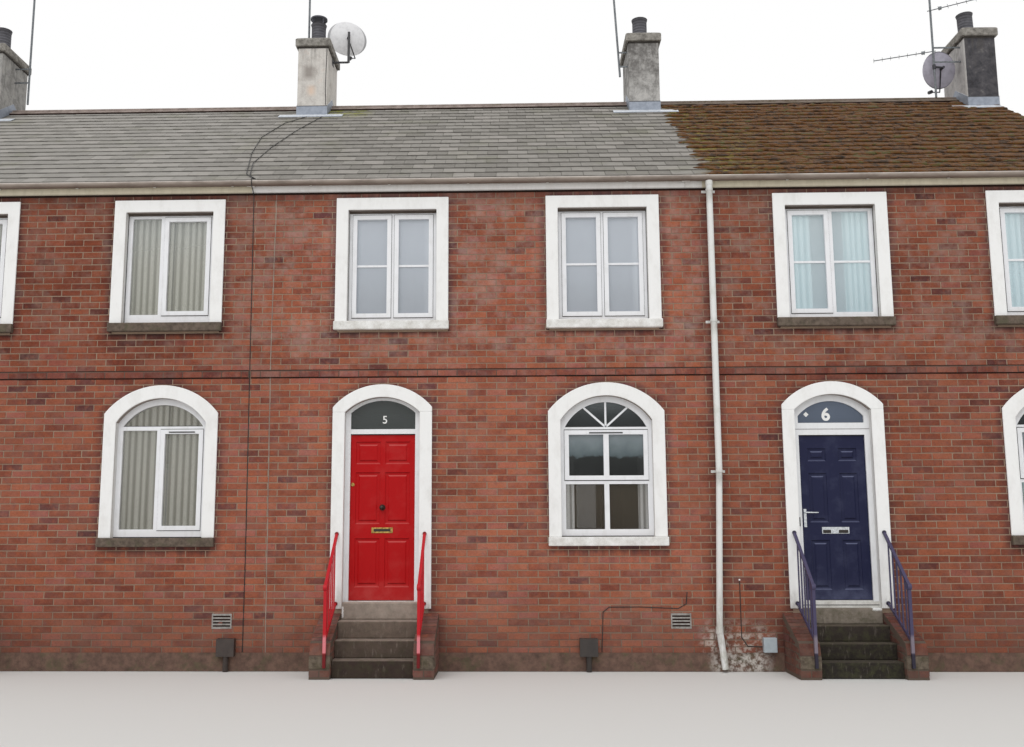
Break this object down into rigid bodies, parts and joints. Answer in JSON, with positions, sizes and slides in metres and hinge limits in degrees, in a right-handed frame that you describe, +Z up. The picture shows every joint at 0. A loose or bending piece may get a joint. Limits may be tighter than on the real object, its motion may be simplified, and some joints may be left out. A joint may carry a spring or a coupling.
{
  "type": "terraced house row",
  "caption": "Row of two-storey brick terraced houses with rendered trim, front steps and railings, slate roof and chimneys; two panelled front doors open inwards",
  "frame": {"origin": "middle of the overall footprint at ground level", "axes": "+X along the row to the right as seen from the street, +Y from the street to the rear, +Z up"},
  "size_m": [15.72, 7.9549, 10.2509],
  "materials": {
    "front_wall_lower": "fired clay bricks, weathered, in pale mortar",
    "front_wall_at_doors": "fired clay bricks, weathered, in pale mortar",
    "front_wall_upper": "fired clay bricks, weathered, in pale mortar",
    "rear_wall": "fired clay bricks, weathered, in pale mortar",
    "end_walls": "fired clay bricks, weathered, in pale mortar",
    "party_walls": "plastered brick",
    "floors": "floor boards on joists",
    "bedroom_ceilings": "painted plaster",
    "roof_front_slope": "weathered slates with some moss",
    "roof_rear_slope": "weathered slates with some moss",
    "ridge_tiles": "fired clay ridge tiles",
    "string_course": "bricks on edge",
    "plinth": "rough cement render",
    "door_trim_jambs": "painted cement render",
    "door_trim_arches": "painted cement render",
    "window_trim": "painted cement render",
    "window_sills": "painted and bare concrete",
    "upper_window_frames": "white plastic profile",
    "arched_window_frames": "white plastic profile",
    "rear_window_frames": "white plastic profile",
    "upper_window_glass": "sealed double glazing",
    "arched_window_glass": "sealed double glazing",
    "rear_window_glass": "sealed double glazing",
    "curtain_rails": "white enamelled rail",
    "curtains": "hanging nets and curtains",
    "door_frame_posts": "white gloss paint",
    "door_frame_heads": "white gloss paint",
    "fanlight_glass": "sealed double glazing",
    "door_thresholds": "white paint, scuffed",
    "left_door": "gloss paint",
    "middle_door": "red gloss paint",
    "middle_door_fittings": "worn brass",
    "right_door": "navy gloss paint",
    "right_door_fittings": "polished chrome",
    "door_hinge_pins": "bare steel",
    "steps_bottom": "worn concrete",
    "steps_second": "worn concrete",
    "steps_third": "worn concrete",
    "steps_top": "worn concrete",
    "step_cheek_walls": "fired clay bricks, weathered, in pale mortar",
    "step_railings": "gloss paint over rust",
    "fascia_boards": "cream gloss paint, weathered",
    "gutters": "weathered paint",
    "downpipes": "white plastic pipe",
    "chimney_stacks": "stained cement render",
    "chimney_caps": "weathered cement",
    "chimney_pots": "sooty fired clay",
    "chimney_cowl": "weathered sheet metal",
    "chimney_flashings": "weathered lead sheet",
    "aerial_masts": "weathered tube",
    "aerial_arrays": "weathered tube",
    "satellite_dishes": "pale grey enamel",
    "airbricks": "cast ventilating brick",
    "service_boxes": "dark and grey plastic",
    "wall_cables": "black sheathed cable"
  },
  "bodies": {
    "row": {"front_wall_lower": "front_wall_lower", "front_wall_at_doors": "front_wall_at_doors", "front_wall_upper": "front_wall_upper", "rear_wall": "rear_wall", "end_walls": "end_walls", "party_walls": "party_walls", "floors": "floors", "bedroom_ceilings": "bedroom_ceilings", "roof_front_slope": "roof_front_slope", "roof_rear_slope": "roof_rear_slope", "ridge_tiles": "ridge_tiles", "string_course": "string_course", "plinth": "plinth", "door_trim_jambs": "door_trim_jambs", "door_trim_arches": "door_trim_arches", "window_trim": "window_trim", "window_sills": "window_sills", "upper_window_frames": "upper_window_frames", "arched_window_frames": "arched_window_frames", "rear_window_frames": "rear_window_frames", "upper_window_glass": "upper_window_glass", "arched_window_glass": "arched_window_glass", "rear_window_glass": "rear_window_glass", "curtain_rails": "curtain_rails", "curtains": "curtains", "door_frame_posts": "door_frame_posts", "door_frame_heads": "door_frame_heads", "fanlight_glass": "fanlight_glass", "door_thresholds": "door_thresholds", "left_door": "left_door", "door_hinge_pins": "door_hinge_pins", "steps_bottom": "steps_bottom", "steps_second": "steps_second", "steps_third": "steps_third", "steps_top": "steps_top", "step_cheek_walls": "step_cheek_walls", "step_railings": "step_railings", "fascia_boards": "fascia_boards", "gutters": "gutters", "downpipes": "downpipes", "chimney_stacks": "chimney_stacks", "chimney_caps": "chimney_caps", "chimney_pots": "chimney_pots", "chimney_cowl": "chimney_cowl", "chimney_flashings": "chimney_flashings", "aerial_masts": "aerial_masts", "aerial_arrays": "aerial_arrays", "satellite_dishes": "satellite_dishes", "airbricks": "airbricks", "service_boxes": "service_boxes", "wall_cables": "wall_cables"},
    "middle_door": {"middle_door": "middle_door", "middle_door_fittings": "middle_door_fittings"},
    "right_door": {"right_door": "right_door", "right_door_fittings": "right_door_fittings"}
  },
  "joints": [
    {"name": "middle_door_swing", "type": "hinge", "parent": "row", "child": "middle_door", "pos_m": [-0.5805, -3.1597, 1.7], "axis": [0, 0, -1], "range_deg": [0, 90]},
    {"name": "right_door_swing", "type": "hinge", "parent": "row", "child": "right_door", "pos_m": [4.4795, -3.1597, 1.7], "axis": [0, 0, -1], "range_deg": [0, 90]}
  ]
}
